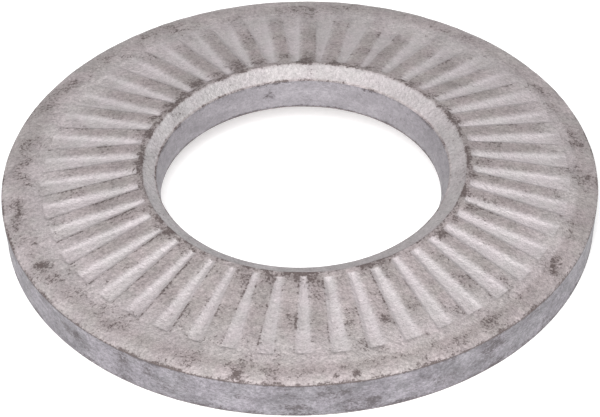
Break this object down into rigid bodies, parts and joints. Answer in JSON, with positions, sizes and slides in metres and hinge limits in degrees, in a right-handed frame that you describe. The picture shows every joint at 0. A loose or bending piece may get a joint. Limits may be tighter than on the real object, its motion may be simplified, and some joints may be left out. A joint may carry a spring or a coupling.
{
  "type": "ribbed lock washer",
  "caption": "Thick conical lock washer: radial ribs pressed into its raised face, a plain round bore with a chamfer, and a smooth rolled rim.",
  "frame": {"origin": "on the washer's axis, in the plane that its rim stands on", "axes": "+Z along the axis of the bore, towards the ribbed face; +X along the middle of a groove between two ribs"},
  "size_m": [0.03, 0.03, 0.0038],
  "materials": {
    "zinc_flake_steel": "matte warm grey zinc-flake coating on pressed spring steel"
  },
  "bodies": {
    "root": {"lock_washer": "zinc_flake_steel"}
  },
  "joints": []
}
